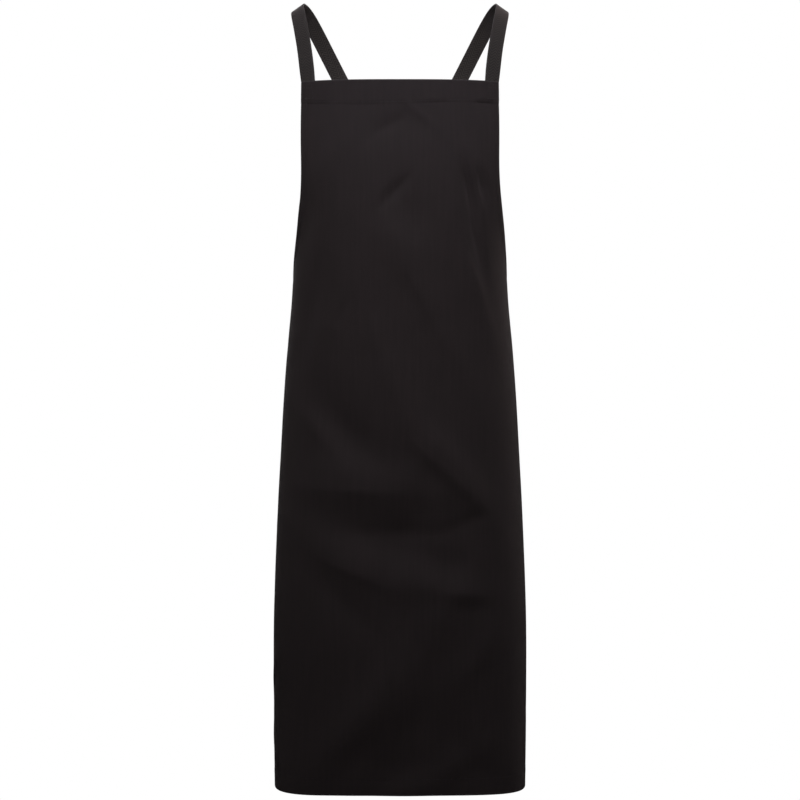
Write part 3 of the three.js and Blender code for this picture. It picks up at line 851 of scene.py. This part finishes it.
def strap_stations(side):
    """Points and outward directions from the bib over the shoulder to the far wing, and the
    cloth coordinates and lean of the two sewn ends."""
    slope = math.radians(SHOULDER_SLOPE)
    up_out = np.array([side * math.sin(slope), 0, math.cos(slope)])
    point = np.array([side * SHOULDER_SPAN / 2, 0, -STRAP_WIDTH / 2 * math.sin(slope)])
    top = (point - up_out * STRAP_THICKNESS / 2, up_out)

    bib_u = side * ((BIB_WIDTH - STRAP_WIDTH) / 2 + STRAP_OVERHANG)
    bib_top = sewn(bib_u, Z_TOP)
    front_lean = (top[0][0] - bib_top[0][0]) / (top[0][2] - bib_top[0][2])

    def front(down):
        return sewn(bib_u - front_lean * down, Z_TOP - down)

    point, out = front(-STRAP_LEAD)
    front_lead = (point, unit(out * (FREE_TURN, 1, 1)))
    front_round = arch(top, front_lead, unit(bib_top[0] - front_lead[0]), FRONT_SWAY)

    wing_u = -side * (float(back_edge(Z_WING)) - WING_INSET)
    wing_top = sewn(wing_u, Z_WING)
    blade_x = side * BLADE_SPAN / 2
    back_lean = (blade_x - wing_top[0][0]) / (-BLADE_DROP - wing_top[0][2])

    def wing(down):
        return sewn(wing_u + back_lean * down, Z_WING - down)

    def on_back(z):
        x = blade_x + back_lean * (z + BLADE_DROP)
        y = BLADE_DEPTH + side * (STRAP_THICKNESS + GAP) / 2
        return np.array([x, y, z]), np.array([0, 1, 0])

    z_cross = -BLADE_DROP - blade_x / back_lean
    blade = on_back(-BLADE_DROP)
    after_cross = on_back(z_cross - CROSS_FLAT * STRAP_WIDTH)
    back_round = arch(top, blade, unit(after_cross[0] - blade[0]), BACK_SWAY)
    stations = [front(down) for down in np.linspace(STRAP_TUCK, 0, TUCK_STEPS)]
    stations += front_round[::-1] + back_round[1:]
    stations += [after_cross, wing(-STRAP_LEAD)]
    stations += [wing(down) for down in np.linspace(0, STRAP_TUCK, TUCK_STEPS)]
    return stations, [(bib_u, Z_TOP, -front_lean), (wing_u, Z_WING, back_lean)]


def strap_path(side):
    """Even stations along a strap: points, outward and sideways directions and lengths along
    it. The sewn ends follow, as strap_stations gives them."""
    stations, seats = strap_stations(side)
    keys = np.array([station[0] for station in stations])
    facings = np.array([station[1] for station in stations])
    along = lengths_along(keys)
    even = np.linspace(0, along[-1], round(along[-1] / STRAP_STEP) + 1)
    at = read_off(even, along, keys)
    out = read_off(even, along, facings)
    offsets = np.arange(-SMOOTH_STEPS, SMOOTH_STEPS + 1)
    weights = np.exp(-0.5 * (offsets * STRAP_STEP / STRAP_SMOOTH) ** 2)
    weights /= weights.sum()
    index = np.clip(np.arange(len(even))[:, None] + offsets, 0, len(even) - 1)
    room = np.minimum(even, even[-1] - even)
    blend = smoothstep(0, STRAP_TUCK, room)[:, None]
    at = mix(at, (at[index] * weights[None, :, None]).sum(1), blend)
    out = unit(mix(out, (out[index] * weights[None, :, None]).sum(1), blend))
    tangent = unit(np.gradient(at, axis=0))
    face = unit(out - (out * tangent).sum(-1, keepdims=True) * tangent)
    return at, face, np.cross(face, tangent), even, seats


def make_strap(hand, side):
    at, face, across, along, _ = strap_path(side)
    profile = np.array(TAPE_OUTLINE + [(-place, -height) for place, height in TAPE_OUTLINE])
    count, around = len(at), len(profile)
    long_rise, long_reach = TAPE_LONG_RIPPLE
    short_rise, short_reach = TAPE_SHORT_RIPPLE
    ripple = long_rise * np.sin(along / long_reach + side) + short_rise * np.sin(along / short_reach)
    free = smoothstep(RIPPLE_START, RIPPLE_FULL, np.minimum(along, along[-1] - along))
    centre = at + face * ripple[:, None] * free[:, None]
    vertices = (
        centre[:, None]
        + across[:, None] * profile[None, :, :1]
        + face[:, None] * profile[None, :, 1:]
    ).reshape(-1, 3)
    index = np.arange(count * around).reshape(count, around)
    following = np.roll(index, -1, axis=1)
    quads = np.stack([index[:-1], following[:-1], following[1:], index[1:]], -1).reshape(-1, 4)
    faces = quads.tolist() + [index[0][::-1].tolist(), index[-1].tolist()]
    uv = np.stack([np.tile(profile[:, 0], count), np.repeat(along, around)], -1)
    # The tape's edges and the raised beads beside them are painted lighter: wear and a painted
    # highlight.
    place_across = np.abs(profile[:, 0])
    side_wear_and_highlight = np.where(place_across > TAPE_SIDE_FROM, TAPE_SIDE_WEAR_AND_HIGHLIGHT, 0)
    wear_and_highlight = np.tile(np.where(place_across > TAPE_RIM_FROM, TAPE_RIM_WEAR_AND_HIGHLIGHT, side_wear_and_highlight), count)
    name = f"strap_{hand}_tape"
    return make(name, vertices, faces, uv, wear_and_highlight, tape_cotton, "strap", [f"strap_{hand}"])


straps = [make_strap(hand, side) for hand, side in (("left", 1), ("right", -1))]

# Stitching

STITCH_PITCH = 3.1
STITCH_LENGTH = 2.4
STITCH_RADIUS = 0.26
STITCH_SIDES = 6
STITCH_FLATNESS = 0.8
STITCH_SINK = 0.1  # how deep its middle lies in the cloth, as a share of its radius
STITCH_GIRTH = 1.6
STITCH_WEAR = 0.25
STITCH_MARGIN = 2.5  # from the ends of a hem
BOX_NEAR, BOX_MIDDLE, BOX_FAR = 5, 10, 26  # from the edge of the cloth, down the strap's end
BOX_SIDE = 8
BAND_LINE_STEPS, BOTTOM_LINE_STEPS, BOX_LINE_STEPS = 200, 400, 24
# A stitch's rings: place along it as a share of its length, and share of its radius
STITCH_RINGS = [(-0.5, 0.45), (-0.34, 1.0), (0.34, 1.0), (0.5, 0.45)]


def stitch_run(points, normals):
    """Middles, directions and normals of the stitches along a line."""
    lengths = lengths_along(points)
    count = int(lengths[-1] // STITCH_PITCH)
    at = (np.arange(count) + 0.5) * lengths[-1] / count
    ahead = read_off(at + STITCH_LENGTH / 2, lengths, points)
    behind = read_off(at - STITCH_LENGTH / 2, lengths, points)
    return (ahead + behind) / 2, unit(ahead - behind), unit(read_off(at, lengths, normals))


def make_stitches(name, runs):
    """One mesh of small closed stitches, from the runs that stitch_run gives."""
    middles, alongs, normals = [np.vstack(parts) for parts in zip(*runs)]
    asides = unit(np.cross(alongs, normals))
    normals = np.cross(asides, alongs)
    sides = STITCH_SIDES
    angles = np.arange(sides) * 2 * np.pi / sides
    vertices, uv = [], []
    for reach, width in STITCH_RINGS:
        for angle in angles:
            height = math.sin(angle) * STITCH_FLATNESS - STITCH_SINK
            offset = (
                alongs * reach * STITCH_LENGTH
                + asides * STITCH_RADIUS * width * math.cos(angle)
                + normals * STITCH_RADIUS * width * height
            )
            vertices.append(middles + offset)
            place_on = [angle / (2 * np.pi) * STITCH_GIRTH, reach * STITCH_LENGTH]
            uv.append(np.tile(place_on, (len(middles), 1)))
    vertices = np.stack(vertices, 1)
    per = len(STITCH_RINGS) * sides
    local = []
    for ring in range(len(STITCH_RINGS) - 1):
        for i in range(sides):
            a, b = ring * sides + i, ring * sides + (i + 1) % sides
            local.append((a, a + sides, b + sides, b))
    starts = np.arange(len(middles)) * per
    quads = (np.array(local)[None] + starts[:, None, None]).reshape(-1, 4).tolist()
    caps = []
    for start in starts.tolist():
        caps.append(list(range(start, start + sides)))
        caps.append(list(range(start + per - 1, start + per - 1 - sides, -1)))
    flat_vertices = vertices.reshape(-1, 3)
    flat_uv = np.stack(uv, 1).reshape(-1, 2)
    wear_and_highlight = np.full(len(flat_vertices), STITCH_WEAR)
    return make(name, flat_vertices, quads + caps, flat_uv, wear_and_highlight, thread, "cloth")


def outside_and_inside(u, z, from_side):
    """The stitches of one line on the outer face, and on the hem inside it."""
    at, out = cloth(u, z, from_side)
    return [stitch_run(at, out), stitch_run(at - out * HEM_FAR, -out)]


def cross_line(reach, count, height_of):
    """Both faces' stitches along a hem across the apron."""
    u = np.linspace(-reach + STITCH_MARGIN, reach - STITCH_MARGIN, count)
    return outside_and_inside(u, height_of(u), reach - np.abs(u))


def hem_lines():
    """The stitches of the band, then the bottom hem, then the sides."""
    band_line = Z_TOP - BIB_HEM + STITCH_INSET
    bottom_line = Z_HEM + BOTTOM_HEM - STITCH_INSET
    reach = float(back_edge(bottom_line))
    runs = cross_line(BIB_WIDTH / 2, BAND_LINE_STEPS, lambda u: band_line - band_wave(u))
    runs += cross_line(reach, BOTTOM_LINE_STEPS, lambda u: np.full(len(u), bottom_line))
    inset = SIDE_HEM - STITCH_INSET
    line = np.array([np.add(row[0], np.multiply(row[1], inset)) for row in ROWS])
    for side in (1, -1):
        for part in (line[1:corner_row + 1], line[corner_row:-1]):
            from_side = np.full(len(part), inset)
            runs += outside_and_inside(part[:, 0] * side, part[:, 1], from_side)
    return runs


hem_stitches = make_stitches("hem_stitching", hem_lines())


def box_places():
    """Places round the box of stitches at a strap's end: along the strap and across it."""
    corners = [(BOX_NEAR, -BOX_SIDE), (BOX_NEAR, BOX_SIDE), (BOX_FAR, BOX_SIDE), (BOX_FAR, -BOX_SIDE)]
    lines = list(zip(corners, corners[1:] + corners[:1]))
    lines.append(((BOX_MIDDLE, -BOX_SIDE), (BOX_MIDDLE, BOX_SIDE)))
    return [np.linspace(start, end, BOX_LINE_STEPS) for start, end in lines]


def box_lines(side):
    """The boxes of stitches at both ends of a strap, on the cloth and on the tape."""
    at, face, across, along, seats = strap_path(side)
    runs = []
    for (seat_u, seat_z, lean), edge_at in zip(seats, (STRAP_TUCK, along[-1] - STRAP_TUCK)):
        for line in box_places():
            down, aside = line[:, 0], line[:, 1]
            u, z = seat_u + lean * down + aside, seat_z - down
            if seat_z == Z_TOP:
                from_side = BIB_WIDTH / 2 - np.abs(u)
                where = edge_at - down
            else:
                from_side = np.full(len(u), float(WING_INSET))
                where = edge_at + down
            runs.append(stitch_run(*cloth(u, z, from_side)))
            out = read_off(where, along, face)
            beside = read_off(where, along, across) * aside[:, None]
            runs.append(stitch_run(read_off(where, along, at) + beside - out * TAPE_FACE, -out))
    return runs


box_stitches = make_stitches("strap_box_stitching", box_lines(1) + box_lines(-1))

# Camera, light and stage

CAMERA_AT = (0, -3.14, -0.5742)
FOCAL_LENGTH = 97.38
FLOOR_REACH = 12
FLOOR_HEIGHT = -1.5

scene = bpy.context.scene
camera_data = bpy.data.cameras.new("camera")
camera_data.lens = FOCAL_LENGTH
camera_data.sensor_width = 36
camera = bpy.data.objects.new("camera", camera_data)
camera.location = CAMERA_AT
camera.rotation_euler = (math.pi / 2, 0, 0)
scene.collection.objects.link(camera)
scene.camera = camera
scene.view_settings.view_transform = "Standard"

world = bpy.data.worlds.new("studio")
world.use_nodes = True
world.node_tree.nodes["Background"].inputs["Color"].default_value = (1, 1, 1, 1)
world.node_tree.nodes["Background"].inputs["Strength"].default_value = 1
world.cycles_visibility.diffuse = False
world.cycles_visibility.glossy = False
world.cycles_visibility.transmission = False
scene.world = world


def light(name, at, towards, size, power, colour=(1, 1, 1)):
    """A soft rectangular lamp that doesn't show itself."""
    data = bpy.data.lights.new(name, "AREA")
    data.shape = "RECTANGLE"
    data.size, data.size_y = size
    data.energy = power
    data.color = colour
    lamp = bpy.data.objects.new(name, data)
    lamp.location = at
    aim = np.subtract(towards, at)
    lamp.rotation_euler = (
        math.atan2(math.hypot(aim[0], aim[1]), -aim[2]),
        0,
        math.atan2(aim[1], aim[0]) - math.pi / 2,
    )
    lamp.visible_camera = False
    scene.collection.objects.link(lamp)


light("key", (0.03, -1.25, 0.45), (0, -0.1, -0.42), (0.5, 0.8), 14.5, (0.985, 0.985, 1.03))
light("front_fill", (0, -3.6, -0.5), (0, 0, -0.7), (2.4, 2.0), 1, (1, 0.86, 0.8))
light("left_side", (0.62, 0.32, 0.2), (0.17, 0, 0), (0.3, 0.4), 1.2, (1, 0.78, 0.66))
light("right_side", (-0.8, 0.35, 0.1), (-0.17, 0, -0.3), (0.4, 0.6), 0.2, (1, 0.86, 0.84))
light("back_soft", (-0.05, 2.2, 0.7), (0, 0, -0.4), (1.2, 1.4), 22)
light("left_flank", (0.75, 1.9, 0.1), (0.15, 0, -0.6), (0.8, 1.4), 5.5)
light("right_flank", (-0.75, 1.9, 0.1), (-0.15, 0, -0.6), (0.8, 1.4), 8)
light("top_soft", (0, -0.4, 1.1), (0, 0.1, -0.1), (1.2, 0.9), 3.4, (0.92, 0.98, 1.06))
light("bib_cool", (0, -0.32, 0.04), (0, -0.09, -0.17), (0.36, 0.08), 0.085, (0.3, 0.62, 1))
light("inner_bounce", (0, -0.03, -0.1), (0, 0.1, -0.06), (0.2, 0.12), 0.05)

floor_mesh = bpy.data.meshes.new("floor")
floor_signs = ((-1, -1), (1, -1), (1, 1), (-1, 1))
floor_corners = [(x * FLOOR_REACH, y * FLOOR_REACH, FLOOR_HEIGHT) for x, y in floor_signs]
floor_mesh.from_pydata(floor_corners, [], [(0, 1, 2, 3)])
floor = bpy.data.objects.new("floor", floor_mesh)
pale = bpy.data.materials.new("pale_floor")
pale.use_nodes = True
tree = pale.node_tree
glow = tree.nodes.new("ShaderNodeEmission")
glow.inputs["Color"].default_value = (1, 1, 1, 1)
tree.links.new(glow.outputs[0], tree.nodes["Material Output"].inputs["Surface"])
floor_mesh.materials.append(pale)
floor.visible_diffuse = False
floor.visible_glossy = False
scene.collection.objects.link(floor)
